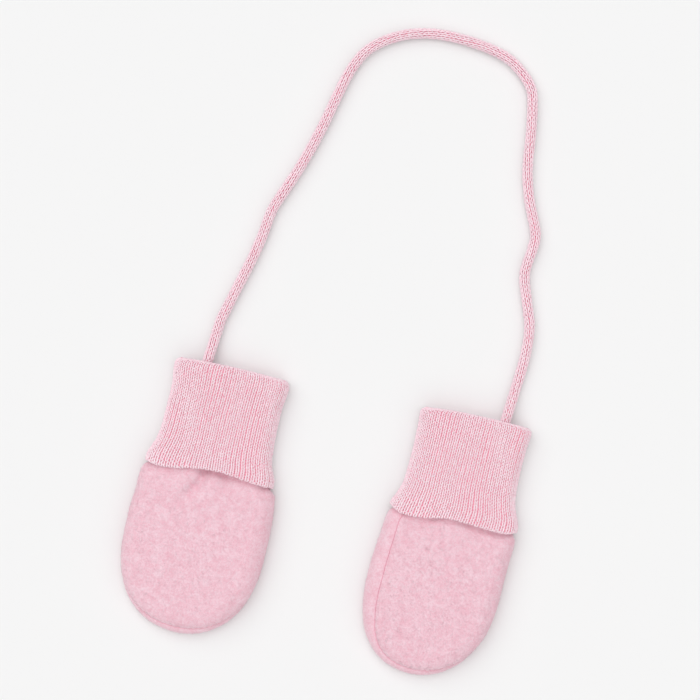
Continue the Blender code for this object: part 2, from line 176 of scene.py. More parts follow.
# One mitten's sizes. Every table is in millimetres, and its first column is the place.
LEFT = {
    "side": "left",
    "place": (-62.69, 7.43),
    "turn": 13.0,               # degrees clockwise, mouth towards +Y
    "mouth_y": 70.2,            # the fold at the mouth
    "toe_drift": -0.3,          # how far the toe's tip leans to the side
    "front_area": 0.0066,       # each panel cut flat, in square metres
    "back_area": 0.0066,
    # x, and how far the fold rises
    "fold": [(-31.0, -0.9), (-12.0, 0.2), (4.0, 0.3), (29.0, -0.6)],
    # y, half width left, half width right, height
    "cuff": [
        (69.5, 31.6, 28.9, 11.4),
        (65.5, 32.0, 29.4, 11.4),
        (56.0, 30.9, 28.3, 11.3),
        (44.0, 31.0, 28.1, 11.3),
        (31.0, 31.5, 28.7, 11.5),
        (25.0, 32.7, 29.7, 11.9),
        (19.0, 34.7, 31.9, 12.4),
        (13.0, 35.4, 32.6, 12.6),
    ],
    "bag": [
        (18.2, 32.9, 30.1, 11.0),
        (13.4, 33.6, 30.8, 11.0),
        (12.0, 34.6, 31.9, 11.2),
        (9.4, 36.3, 34.6, 11.8),
        (5.0, 36.9, 35.5, 12.2),
        (-2.0, 37.2, 36.5, 12.5),
        (-12.0, 38.0, 36.9, 12.6),
        (-21.0, 38.0, 36.8, 12.6),
        (-45.0, 38.0, 36.8, 12.2),
        (-70.0, 38.0, 36.8, 11.2),
    ],
    # x, y of the rib's free rim on top
    "rim": [(-35.4, 14.2), (-31.5, 13.0), (-26.0, 12.4), (-19.0, 13.2), (-10.0, 15.0), (0.0, 15.9),
            (11.0, 15.4), (20.0, 14.4), (27.5, 13.8), (32.6, 14.0)],
    # x, and how deep the fleece tucks in under the rim
    "tuck": [(-35.0, 0.7), (-20.0, 0.8), (-8.0, 1.4), (0.0, 2.5), (9.0, 2.4), (20.0, 1.6), (33.0, 0.8)],
    # way round the bag from 0 to 1, and the turn at which the seam lies there, in degrees
    "seam": [(0.0, -14.0), (0.31, -12.0), (0.40, 22.0), (0.50, 42.0), (0.60, 22.0), (0.69, -12.0),
             (1.0, -14.0)],
    "cord_in": (-15.4, 70.0),   # x, y where the cord's middle crosses the mouth
    # soft folds: from x, y, to x, y, depth (a ridge if below 0), half width
    "folds": [
        (-2.5, 17.5, -12.0, -5.0, 3.3, 2.7),
        (3.0, 17.5, 12.0, 11.0, 1.3, 2.6),
        (-10.0, 14.0, -18.0, 1.0, -0.45, 4.0),
        (4.0, 16.0, 8.0, 6.0, 0.55, 5.0),
        (12.0, 12.0, 30.0, 3.0, 0.35, 4.5),
        (-30.0, 6.0, -24.0, -20.0, 0.25, 5.0),
        (20.0, -20.0, 6.0, -44.0, 0.25, 7.0),
        (-6.0, -26.0, -20.0, -48.0, -0.25, 7.0),
    ],
    "folds_under": [
        (4.0, 17.0, 10.0, 2.0, 0.8, 2.6),
        (-16.0, 15.0, -12.0, 4.0, 0.5, 3.0),
        (-4.0, -16.0, 16.0, -36.0, 0.2, 6.0),
    ],
}
RIGHT = {
    "side": "right",
    "place": (61.81, -14.77),
    "turn": 14.0,
    "mouth_y": 68.2,
    "toe_drift": -2.6,
    "front_area": 0.0056,
    "back_area": 0.0069,
    "fold": [(-28.5, -2.3), (-12.0, -0.5), (4.0, 0.1), (16.0, 0.2), (29.5, -0.2)],
    "cuff": [
        (69.5, 28.6, 29.6, 11.4),
        (65.5, 29.1, 30.2, 11.4),
        (56.0, 28.5, 29.5, 11.3),
        (44.0, 28.2, 29.4, 11.3),
        (31.0, 28.5, 30.2, 11.5),
        (25.0, 29.0, 31.8, 11.9),
        (19.0, 30.8, 34.3, 12.4),
        (13.0, 32.8, 34.8, 12.6),
    ],
    "bag": [
        (18.2, 28.5, 32.5, 11.0),
        (13.4, 30.1, 32.8, 11.0),
        (12.0, 30.9, 33.6, 11.2),
        (9.4, 32.3, 35.0, 11.8),
        (5.0, 33.2, 35.4, 12.2),
        (-2.0, 33.8, 35.1, 12.5),
        (-12.0, 34.7, 34.9, 12.6),
        (-21.0, 35.2, 34.8, 12.6),
        (-45.0, 35.2, 34.8, 12.2),
        (-70.0, 35.2, 34.8, 11.2),
    ],
    "rim": [(-33.0, 13.2), (-28.1, 10.3), (-20.0, 9.4), (-13.0, 10.3), (-6.5, 12.1), (2.5, 12.9),
            (11.0, 12.6), (20.0, 12.2), (28.5, 12.4), (34.8, 14.4)],
    "tuck": [(-33.0, 0.8), (-18.0, 1.1), (-10.0, 1.7), (-2.0, 1.2), (10.0, 1.9), (22.0, 2.4), (34.0, 1.2)],
    "seam": [(0.0, 58.0), (0.12, 66.0), (0.27, 75.0), (0.36, 72.0), (0.43, 46.0), (0.50, 40.0), (0.58, 26.0),
             (0.68, -12.0), (1.0, -14.0)],
    "cord_in": (15.1, 69.0),
    "folds": [
        (-4.0, 15.0, -3.0, 3.0, 0.6, 2.6),
        (6.0, 14.0, 22.0, 6.0, 0.45, 4.0),
        (24.0, 10.0, 27.0, -18.0, 0.3, 5.0),
        (-12.0, 8.0, -16.0, -16.0, -0.3, 6.0),
        (2.0, -14.0, -6.0, -40.0, 0.25, 7.0),
        (16.0, -28.0, 4.0, -50.0, -0.25, 6.0),
    ],
    "folds_under": [
        (-8.0, 17.0, -14.0, 0.0, 0.8, 2.8),
        (14.0, 15.0, 10.0, 3.0, 0.5, 3.0),
        (0.0, -20.0, -12.0, -40.0, 0.2, 6.0),
    ],
}

# Where the free cord runs over the table, from the left cuff to the right one: x, y in millimetres
CORD_ROUTE = [
    (-54.8, 101.4),
    (-51.2, 108.5),
    (-47.0, 116.8),
    (-39.5, 131.3),
    (-33.6, 144.4),
    (-28.6, 157.6),
    (-23.6, 165.8),
    (-12.8, 182.1),
    (-1.9, 201.9),
    (5.5, 217.4),
    (12.8, 231.4),
    (21.7, 241.8),
    (34.7, 248.1),
    (48.7, 250.4),
    (63.9, 249.0),
    (82.1, 243.6),
    (94.9, 237.1),
    (102.6, 229.0),
    (106.7, 221.6),
    (107.5, 213.8),
    (106.7, 198.2),
    (104.9, 179.4),
    (105.9, 163.3),
    (109.0, 146.7),
    (107.6, 138.3),
    (104.5, 129.6),
    (103.3, 122.2),
    (105.2, 105.3),
    (105.9, 96.2),
    (103.7, 82.3),
]


# ---- reading tables ----

def read_table(rows, column, place):
    """A column of a table, read smoothly at places between its rows."""
    rows = np.array(sorted(rows), float)
    at, values = rows[:, 0], rows[:, column]
    place = np.clip(np.asarray(place, float), at[0], at[-1])
    k = np.clip(np.searchsorted(at, place, side="left") - 1, 0, len(at) - 2)
    before, after = np.maximum(k - 1, 0), np.minimum(k + 2, len(at) - 1)
    span = at[k + 1] - at[k]
    slope_start = (values[k + 1] - values[before]) / (at[k + 1] - at[before])
    slope_end = (values[after] - values[k]) / (at[after] - at[k])
    f = (place - at[k]) / span
    return ((2 * f**3 - 3 * f**2 + 1) * values[k] + (f**3 - 2 * f**2 + f) * span * slope_start
            + (3 * f**2 - 2 * f**3) * values[k + 1] + (f**3 - f**2) * span * slope_end)


def table(mitten, name, column, place):
    """A table's column in metres, read at places in metres."""
    return read_table(mitten[name], column, np.asarray(place) / MM) * MM


def ease(f):
    """0 to 1, with a flat start and end."""
    f = np.clip(f, 0.0, 1.0)
    return f * f * (3 - 2 * f)


def noise_at(points, scale, seed=0):
    """Smooth noise from -1 to 1 at points, scale being the size of its lumps."""
    shift = Vector((13.1 * seed, 7.7 * seed, 3.3 * seed))
    flat = points.reshape(-1, 3)
    values = np.fromiter((noise.noise(Vector(p) / scale + shift) for p in flat), float, len(flat))
    return values.reshape(points.shape[:-1])


def placed(mitten, points):
    """Points of a mitten's own frame, in the shared frame."""
    turn = -math.radians(mitten["turn"])
    x, y = mitten["place"]
    out = np.array(points, float)
    px, py = out[..., 0].copy(), out[..., 1].copy()
    out[..., 0] = px * math.cos(turn) - py * math.sin(turn) + x * MM
    out[..., 1] = px * math.sin(turn) + py * math.cos(turn) + y * MM
    return out


# ---- meshes ----

def grid_faces(rows, columns, wrap_rows=False, wrap_columns=False):
    """Quads of a grid whose points are numbered row by row."""
    r = np.arange(rows if wrap_rows else rows - 1)
    c = np.arange(columns if wrap_columns else columns - 1)
    r, c = np.meshgrid(r, c, indexing="ij")
    r2, c2 = (r + 1) % rows, (c + 1) % columns
    corners = [r * columns + c, r * columns + c2, r2 * columns + c2, r2 * columns + c]
    return np.stack(corners, -1).reshape(-1, 4)


def new_piece(name, points, groups, node=None):
    """A smooth mesh piece. groups holds pairs of a material and a list of face arrays, where each
    array's faces have one corner count. A node is the CAD solid that the piece stands for."""
    faces = [(k, f) for k, (material, arrays) in enumerate(groups) for f in arrays if len(f)]
    corners = np.concatenate([f.ravel() for k, f in faces])
    counts = np.concatenate([np.full(len(f), f.shape[1]) for k, f in faces])
    mesh = bpy.data.meshes.new(name)
    mesh.vertices.add(len(points))
    mesh.vertices.foreach_set("co", np.asarray(points, np.float32).ravel())
    mesh.loops.add(len(corners))
    mesh.loops.foreach_set("vertex_index", corners.astype(np.int32))
    mesh.polygons.add(len(counts))
    mesh.polygons.foreach_set("loop_start", np.concatenate([[0], np.cumsum(counts)[:-1]]).astype(np.int32))
    mesh.polygons.foreach_set("loop_total", counts.astype(np.int32))
    materials = np.concatenate([np.full(len(f), k) for k, f in faces])
    mesh.polygons.foreach_set("material_index", materials.astype(np.int32))
    mesh.update(calc_edges=True)
    for material, arrays in groups:
        mesh.materials.append(material)
    mesh.shade_smooth()
    piece = bpy.data.objects.new(name, mesh)
    bpy.context.scene.collection.objects.link(piece)
    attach(piece, "root")
    if node:
        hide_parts(node)
    return piece


def weld(piece):
    """Joins the points of a panel that meet on its spine, and points its faces outwards."""
    mesh = bmesh.new()
    mesh.from_mesh(piece.data)
    bmesh.ops.remove_doubles(mesh, verts=mesh.verts, dist=WELD)
    bmesh.ops.recalc_face_normals(mesh, faces=mesh.faces)
    mesh.to_mesh(piece.data)
    mesh.free()


# ---- the cuffs' form ----

def rim_offset(mitten, x, over):
    """How far the rib's rim at x lies from its mean place: over is 1 on top and 0 underneath."""
    return (table(mitten, "rim", 1, x) - RIM_Y) * (RIM_UNDER + (1 - RIM_UNDER) * over)


def fold_rise(mitten, x, y):
    """How far the cuff at x and y is drawn up or down by the uneven line of its fold."""
    near = ease((y - mitten["mouth_y"] * MM + FOLD_REACH) / FOLD_REACH)
    return near * table(mitten, "fold", 1, x)


def rim_share(y):
    """How closely a ring of the cuff at y follows the waves of its rim."""
    return 1 - float(ease((y - RIM_Y) / RIM_FADE))


def cuff_ring(mitten, y, inset, follow, count):
    """One closed ring of the cuff, count points an even distance apart, from the middle of its top."""
    near_fold = min(max((y - mitten["mouth_y"] * MM + CORNER) / CORNER, 0.0), 1.0)
    corner = CORNER * (1 - math.sqrt(1 - (CORNER_TURN * near_fold) ** 2)) if inset < CUFF_WALL else 0.0
    left = float(table(mitten, "cuff", 1, y)) - inset - corner
    right = float(table(mitten, "cuff", 2, y)) - inset - corner
    low, high = inset, float(table(mitten, "cuff", 3, y)) - inset
    middle = low + WIDEST_HEIGHT * (high - low)
    top_round, low_round = CUFF_ROUND_TOP - 0.5 * inset, CUFF_ROUND_LOW - 0.5 * inset
    down = np.linspace(0.5 * math.pi, 0, ARC_POINTS)
    up = down[::-1]
    flat = np.linspace(0, 1, FLAT_POINTS)[1:-1]
    x = np.concatenate([right - top_round * (1 - np.cos(down)),
                        right - low_round * (1 - np.cos(up[1:])),
                        right - low_round - flat * (left + right - 2 * low_round),
                        low_round * (1 - np.cos(down)) - left,
                        top_round * (1 - np.cos(up[1:])) - left,
                        top_round - left + flat * (left + right - 2 * top_round)])
    z = np.concatenate([middle + (high - middle) * np.sin(down),
                        middle - (middle - low) * np.sin(up[1:]),
                        np.full(len(flat), low),
                        middle - (middle - low) * np.sin(down),
                        middle + (high - middle) * np.sin(up[1:]),
                        high + 4 * CUFF_CROWN * flat * (1 - flat)])
    start = int(np.argmin(np.hypot(x - (right - left) / 2, z - high)))
    x, z = np.roll(x, -start), np.roll(z, -start)
    x, z = np.append(x, x[0]), np.append(z, z[0])
    along = np.concatenate([[0], np.cumsum(np.hypot(np.diff(x), np.diff(z)))])
    at = np.arange(count) / count * along[-1]
    x, z = np.interp(at, along, x), np.interp(at, along, z)
    over = ease((z - low) / (high - low))
    return np.stack([x, y + follow * rim_offset(mitten, x, over) + fold_rise(mitten, x, y), z], 1)


def cuff_stops(mouth, step):
    """Rings of the cuff from under its rim, up the outer face, over the fold and down the inner face: y,
    inset and share of the rim's waves."""
    fold = CUFF_WALL / 2
    stops = [(RIM_Y + RIM_EDGE * (1 - math.cos(turn)), RIM_EDGE * (1 - math.sin(turn)), 1.0)
             for turn in np.radians(np.arange(-60.0, 90.0, 30.0))]
    ys = np.arange(RIM_Y + RIM_EDGE, mouth - fold - 0.4 * step, step)
    stops += [(y, 0.0, rim_share(y)) for y in ys]
    bends = max(4, int(round(math.pi * fold / step)))
    for k in range(bends + 1):
        turn = math.pi * k / bends
        stops.append((mouth - fold + fold * math.sin(turn), fold - fold * math.cos(turn), 0.0))
    return stops


def skin(grid):
    """A grid of rings, its outward normals, and each ring's way from the first along the surface."""
    across = np.roll(grid, -1, axis=1) - np.roll(grid, 1, axis=1)
    normal = np.cross(across, np.gradient(grid, axis=0))
    normal /= np.linalg.norm(normal, axis=2, keepdims=True)
    steps = np.linalg.norm(np.diff(grid, axis=0), axis=2).mean(axis=1)
    return grid, normal, np.concatenate([[0], np.cumsum(steps)])


def sample(values, across, along):
    """A grid's values at fractional rows and at fractional columns, which wrap."""
    rows, columns = values.shape[:2]
    along = np.clip(along, 0, rows - 1.001)
    r = np.floor(along).astype(int)
    c = np.floor(across).astype(int)
    fr, fc = (along - r)[..., None], (across - c)[..., None]
    c, c2 = c % columns, (c + 1) % columns
    return ((values[r, c] * (1 - fc) + values[r, c2] * fc) * (1 - fr)
            + (values[r + 1, c] * (1 - fc) + values[r + 1, c2] * fc) * fr)


# ---- stitches ----

def leg_template():
    """One yarn leg of a V, a grain with two pointed ends. Its points have the place along the leg, the
    turn round it, and the share of its thickness."""
    rows = [(p, 2 * math.pi * k / LEG_SIDES, 1 - 0.2 * p * p)
            for p in np.linspace(-1, 1, LEG_RINGS) for k in range(LEG_SIDES)]
    rows += [(-1.2, 0.0, 0.0), (1.2, 0.0, 0.0)]
    quads = grid_faces(LEG_RINGS, LEG_SIDES, wrap_columns=True)[:, ::-1]
    k = np.arange(LEG_SIDES)
    k2 = (k + 1) % LEG_SIDES
    first, last, top = LEG_RINGS * LEG_SIDES, LEG_RINGS * LEG_SIDES + 1, (LEG_RINGS - 1) * LEG_SIDES
    tips = np.concatenate([np.stack([np.full(LEG_SIDES, first), k, k2], 1),
                           np.stack([np.full(LEG_SIDES, last), top + k2, top + k], 1)])
    return np.array(rows).T, quads, tips


def knit_legs(surface, wales, rows, pitch, lift, rng, drift, full=None):
    """The yarn legs of stocking stitch. surface(u, v, h) gives the points that lie u stitches across, v
    rows along and h metres above the cloth. drift(u, v) shifts a stitch, in stitches and rows, and
    full(v) says how much thicker the yarn is at a row."""
    (p, turn, girth), quads, tips = leg_template()
    u, v = np.meshgrid(np.arange(wales), np.arange(rows), indexing="ij")
    u = np.repeat(u.ravel(), 2) + 0.5
    v = np.repeat(v.ravel(), 2) + 0.5
    hand = np.tile([-1.0, 1.0], wales * rows)
    du, dv = drift(u, v)
    own = rng.normal(size=(4, len(u)))
    u = u + du + STRAY_ACROSS * own[0]
    v = v + dv + STRAY_ALONG * own[1]
    size = (1 + STRAY_SIZE * own[2])[:, None]
    radius = LEG_RADIUS * pitch * girth * size * (full(v)[:, None] if full else 1.0)
    lean = np.where(p > 0, LEG_HIGH * np.abs(p)**1.5, LEG_LOW * p)
    across = u[:, None] + hand[:, None] * (LEG_MIDDLE + lean) + radius * np.cos(turn) / pitch
    along = v[:, None] + np.where(p > 0, LEG_UP, LEG_DOWN) * p * size
    height = lift * (1 - 1.1 * p**2) + STRAY_HEIGHT * own[3][:, None] + 0.8 * radius * np.sin(turn)
    points = surface(across, along, height).reshape(-1, 3)
    base = (np.arange(len(u)) * len(p))[:, None, None]
    return points, (quads + base).reshape(-1, 4), (tips + base).reshape(-1, 3)


# ---- materials ----

def linear(colour):
    """A bright colour's linear values, from its screen values of 0 to 255."""
    return tuple(((c / 255 + 0.055) / 1.055) ** 2.4 for c in colour) + (1.0,)


def cloth_material(name, colours, lump, grain, bump, sheen):
    """A dull cloth whose colour wanders between three, in lumps of one size with a finer grain."""
    material = bpy.data.materials.new(name)
    material.use_nodes = True
    nodes, links = material.node_tree.nodes, material.node_tree.links
    shader = nodes["Principled BSDF"]
    shader.inputs["Roughness"].default_value = 1.0
    shader.inputs["Specular IOR Level"].default_value = 0.15
    shader.inputs["Sheen Weight"].default_value = sheen
    shader.inputs["Sheen Roughness"].default_value = 0.6
    shader.inputs["Sheen Tint"].default_value = (1.0, 0.86, 0.9, 1.0)
    place = nodes.new("ShaderNodeTexCoord")

    def cloud(size, detail, roughness, distortion=0.0):
        """Noise with lumps of a size, in the cloth's own space."""
        node = nodes.new("ShaderNodeTexNoise")
        node.inputs["Scale"].default_value = 1 / size
        node.inputs["Detail"].default_value = detail
        node.inputs["Roughness"].default_value = roughness
        node.inputs["Distortion"].default_value = distortion
        links.new(place.outputs["Object"], node.inputs["Vector"])
        return node.outputs["Fac"]

    coarse, fine = cloud(lump, 3.0, 0.6, 0.6), cloud(grain, 2.0, 0.6)
    both = nodes.new("ShaderNodeMath")
    both.operation = "ADD"
    links.new(coarse, both.inputs[0])
    links.new(fine, both.inputs[1])
    ramp = nodes.new("ShaderNodeValToRGB")
    ramp.color_ramp.interpolation = "B_SPLINE"
    ramp.color_ramp.elements[0].position = 0.36
    ramp.color_ramp.elements[0].color = linear(colours[0])
    ramp.color_ramp.elements[1].position = 0.64
    ramp.color_ramp.elements[1].color = linear(colours[2])
    middle = ramp.color_ramp.elements.new(0.5)
    middle.color = linear(colours[1])
    half = nodes.new("ShaderNodeMath")
    half.operation = "MULTIPLY"
    half.inputs[1].default_value = 0.5
    links.new(both.outputs[0], half.inputs[0])
    links.new(half.outputs[0], ramp.inputs["Fac"])
    links.new(ramp.outputs["Color"], shader.inputs["Base Color"])
    relief = nodes.new("ShaderNodeBump")
    relief.inputs["Strength"].default_value = 0.6
    relief.inputs["Distance"].default_value = bump
    links.new(fine, relief.inputs["Height"])
    links.new(relief.outputs["Normal"], shader.inputs["Normal"])
    return material


# ---- the scene's camera, light and floor ----

def add_camera():
    """A camera straight above, as in a flat lay."""
    data = bpy.data.cameras.new("camera")
    data.sensor_width = 36.0
    data.lens = data.sensor_width * VIEW_HEIGHT / VIEW_WIDTH
    data.clip_start = 0.05
    data.clip_end = 20.0
    camera = bpy.data.objects.new("camera", data)
    camera.location = (*VIEW_CENTRE, VIEW_HEIGHT + MIDDLE_Z)
    bpy.context.scene.collection.objects.link(camera)
    bpy.context.scene.camera = camera


def add_sun(name, direction, strength):
    """Light that comes from a broad patch of the sky."""
    data = bpy.data.lights.new(name, "SUN")
    data.angle = math.radians(SPREAD)
    data.energy = strength
    light = bpy.data.objects.new(name, data)
    light.rotation_euler = Vector(direction).to_track_quat("Z", "Y").to_euler()
    bpy.context.scene.collection.objects.link(light)


def add_studio():
    """A pale floor under an even sky, with a broad soft light on either side."""
    bpy.context.scene.view_settings.view_transform = "Standard"
    world = bpy.data.worlds.new("studio")
    world.use_nodes = True
    sky = world.node_tree.nodes["Background"]
    sky.inputs["Color"].default_value = (1.0, 0.998, 0.996, 1.0)
    sky.inputs["Strength"].default_value = SKY
    bpy.context.scene.world = world
    add_sun("key", (-0.5, 0.55, 1.3), KEY)
    add_sun("fill", (0.55, -0.5, 1.1), FILL)
    floor_data = bpy.data.meshes.new("floor")
    half = 3.0
    x, y = VIEW_CENTRE
    floor_data.from_pydata([(x - half, y - half, 0), (x + half, y - half, 0), (x + half, y + half, 0),
                            (x - half, y + half, 0)], [], [(0, 1, 2, 3)])
    floor = bpy.data.objects.new("floor", floor_data)
    material = bpy.data.materials.new("paper")
    material.use_nodes = True
    shader = material.node_tree.nodes["Principled BSDF"]
    shader.inputs["Base Color"].default_value = (0.86, 0.86, 0.86, 1.0)
    shader.inputs["Roughness"].default_value = 0.9
    shader.inputs["Specular IOR Level"].default_value = 0.1
    floor_data.materials.append(material)
    bpy.context.scene.collection.objects.link(floor)


# ---- the cord ----

def cord_end(mitten):
    """The cord's points inside a cuff and in its mouth, from the inner end outwards."""
    x, y = mitten["cord_in"]
    inside = CUFF_WALL + (float(table(mitten, "cuff", 3, y * MM)) - 2 * CUFF_WALL) / 2
    lying = CORD_DIAMETER / 2 + CORD_CLEAR
    points = [(x * MM + CORD_LEAN * out, y * MM + out, height)
              for out, height in ((-CORD_INSERT, inside), (0.0, inside),
                                  (0.5 * CORD_RISE, (inside + lying) / 2), (CORD_RISE, lying))]
    return placed(mitten, points)


def smooth_curve(points, per_span):
    """Many points on a smooth curve through a few, a Catmull-Rom curve with even knots."""
    padded = np.vstack([2 * points[0] - points[1], points, 2 * points[-1] - points[-2]])
    f = (np.arange(per_span) / per_span)[:, None]
    curve = []
    for a, b, c, d in zip(padded, padded[1:], padded[2:], padded[3:]):
        curve.append(0.5 * (2 * b + (c - a) * f + (2 * a - 5 * b + 4 * c - d) * f**2
                            + (3 * b - a - 3 * c + d) * f**3))
    return np.vstack(curve + [points[-1:]])


def even_points(curve, step):
    """The same curve as points an even distance apart, and its length."""
    along = np.concatenate([[0], np.cumsum(np.linalg.norm(np.diff(curve, axis=0), axis=1))])
    at = np.linspace(0, along[-1], int(round(along[-1] / step)) + 1)
    return np.stack([np.interp(at, along, curve[:, k]) for k in range(3)], 1), along[-1]


def cord_route():
    """The points that the cord's middle runs through, from inside the left cuff to inside the right."""
    lying = CORD_DIAMETER / 2 + CORD_CLEAR
    free = np.array([(x * MM, y * MM, lying) for x, y in CORD_ROUTE])
    return np.vstack([cord_end(LEFT), free, cord_end(RIGHT)[::-1]])


def cord_frames(line):
    """Each point of the cord's middle, with the ways sideways and up across the cord."""
    ahead = np.gradient(line, axis=0)
    ahead /= np.linalg.norm(ahead, axis=1, keepdims=True)
    side = np.cross(ahead, [0.0, 0.0, 1.0])
    side /= np.linalg.norm(side, axis=1, keepdims=True)
    return np.stack([line, side, np.cross(side, ahead)], 1)


def build_cord(yarn, deep):
    """The knitted cord: a core in painted shade, the dark seen between the legs, inside a tube of stocking
    stitch.
    """
    curve = smooth_curve(cord_route(), 24)
    line, length = even_points(curve, 0.5 * MM)
    frames = cord_frames(line)
    rows = int(round(length / CORD_ROW)) - 1
    row = length / (rows + 1)

    def surface(u, v, h):
        """Points of the cord's knit."""
        at = np.clip(v * row, 0, length) / length * (len(line) - 1.001)
        k = np.floor(at).astype(int)
        f = (at - k)[..., None, None]
        frame_at = frames[k] * (1 - f) + frames[k + 1] * f
        turn = 2 * math.pi * (u / CORD_WALES + CORD_TWIST * v * row)
        reach = CORD_SKIN + h
        return (frame_at[..., 0, :] + frame_at[..., 1, :] * (reach * np.cos(turn))[..., None]
                + frame_at[..., 2, :] * (reach * np.sin(turn))[..., None])

    rng = np.random.default_rng(SEED)
    wander = rng.normal(size=(2, 40))

    def drift(u, v):
        """Slow unevenness of the stitches."""
        return (0.10 * np.interp(v, np.linspace(0, rows, 40), wander[0]),
                0.12 * np.sin(2.4 * u + 0.35 * v) + 0.06 * np.sin(5.0 * u - 0.8 * v))

    pitch = 2 * math.pi * CORD_SKIN / CORD_WALES
    points, quads, tips = knit_legs(surface, CORD_WALES, rows, pitch, CORD_LIFT, rng, drift)
    # the core has every third point of the line, and its last
    v = np.append(np.arange(0, len(line), 3), len(line) - 1) / (len(line) - 1) * (rows + 1)
    u = np.arange(CORE_SIDES) / CORE_SIDES * CORD_WALES
    v, u = np.meshgrid(v, u, indexing="ij")
    core = surface(u, v, np.full(u.shape, -CORE_DEPTH))
    start = len(points)
    first_end = start + np.arange(CORE_SIDES)[None]
    last_end = start + core.shape[0] * CORE_SIDES - 1 - np.arange(CORE_SIDES)[None]
    tube = start + grid_faces(core.shape[0], CORE_SIDES, wrap_columns=True)[:, ::-1]
    # the core takes the painted-shade pink
    cord = new_piece("cord_knitted", np.vstack([points, core.reshape(-1, 3)]),
                     [(yarn, [quads, tips]), (deep, [tube, first_end, last_end])], "cord")
    mouth = (LEFT["cord_in"][0] * MM, LEFT["mouth_y"] * MM, cord_end(LEFT)[1][2])
    path, length = even_points(curve, 4.0 * MM)
    tuple(placed(LEFT, mouth))


# ---- the cuffs ----

def cuff_shell(mitten, rings, normal, sunk, inner):
    """The rings of the cuff's closed shell, a little inside its stitches: the outer face and the fold, the
    inner face, a step at the fleece's neck, and the back of the hanging rim."""
    shell = [ring - way_out * (depth + UNDER_STITCHES) for ring, way_out, depth in zip(rings, normal, sunk)]
    shell += inner
    step = FLEECE_TOP_Y + GAP
    shell.append(cuff_ring(mitten, step, CUFF_WALL, 0.0, RING_POINTS))
    shell.append(cuff_ring(mitten, step, RIM_LINING, 0.0, RING_POINTS))
    shell += [cuff_ring(mitten, y, RIM_LINING, rim_share(y), RING_POINTS)
              for y in np.arange(FLEECE_TOP_Y - LINING_STEP, RIM_Y + 0.5 * RIB, -LINING_STEP)]
    return placed(mitten, np.array(shell))


def cuff_legs(grid, normal, way, sunk, to_fold, perimeter, seed):
    """The yarn legs of a cuff, in rows from the rim up to the fold, to_fold away, and a little inside."""
    rng = np.random.default_rng(seed)
    rows = int(round((to_fold + INSIDE_ROWS * ROW) / ROW))

    def surface(u, v, h):
        """Points of the cuff's knit."""
        at = v * ROW + RIM_BARE
        along = np.interp(at, way, np.arange(len(way)))
        across = u * (RING_POINTS // WALES)
        out = sample(normal, across, along)
        return sample(grid, across, along) + out * (h - np.interp(at, way, sunk))[..., None]

    waves = rng.normal(size=(6, 3))

    def drift(u, v):
        """Slow unevenness of the stitches, alike on neighbours."""
        turn = 2 * math.pi * u / WALES
        du = sum(0.10 / (k + 1) * np.sin((2 * k + 2) * turn + (0.10 + 0.05 * k) * v + 3 * waves[k][0])
                 for k in range(4))
        dv = sum(0.16 / (k + 1) * np.sin((3 * k + 2) * turn - 0.09 * v + 3 * waves[k][1]) for k in range(4))
        return du + 0.05 * np.sin(7.1 * u + waves[4][0]), dv + 0.10 * np.sin(3.7 * u + waves[5][0])

    fold_row = (to_fold - 0.5 * math.pi * CUFF_WALL / 2) / ROW

    def full(v):
        """The yarn closes up where the cloth is drawn over the fold, and along the rim."""
        return 1 + 0.28 * ease((v - fold_row + 2.4) / 1.6) + 0.10 * ease(1.2 - v)

    return knit_legs(surface, WALES, rows, perimeter / WALES, CUFF_LIFT, rng, drift, full)


def build_cuff(mitten, yarn, deep, seed):
    """A doubled rib cuff: its shell, coloured in painted shade that shows between the stitches, and the
    stitches on its outer face and over the fold.
    """
    side, mouth = mitten["side"], mitten["mouth_y"] * MM
    rings = [cuff_ring(mitten, y, inset, follow, RING_POINTS)
             for y, inset, follow in cuff_stops(mouth, ROW / 2)]
    inner = [cuff_ring(mitten, y, CUFF_WALL, 0.0, RING_POINTS)
             for y in np.arange(mouth - CUFF_WALL, FLEECE_TOP_Y + 1.0 * MM, -INNER_STEP)]
    grid, normal, way = skin(np.array(rings + inner))
    to_fold = way[len(rings) - 1]
    sunk = STITCH_SINK * ease((way - RIM_PROUD) / RIM_PROUD)
    shell = cuff_shell(mitten, rings, normal, sunk, inner)
    faces = grid_faces(len(shell), RING_POINTS, wrap_rows=True, wrap_columns=True)
    # the shell's colour is painted shade, the dark seen between the stitches
    cuff = new_piece(side + "_cuff_shell_painted_shade", shell.reshape(-1, 3), [(deep, [faces])],
                     side + "_cuff")

    perimeter = np.linalg.norm(np.diff(grid[len(rings) // 2], axis=0), axis=1).sum()
    points, quads, tips = cuff_legs(grid, normal, way, sunk, to_fold, perimeter, seed)
    points = placed(mitten, points)
    points[:, 2] = np.maximum(points[:, 2], FLOOR_CLEAR)
    stitches = new_piece(side + "_cuff_stitches", points, [(yarn, [quads, tips])])


# ---- the fleece ----

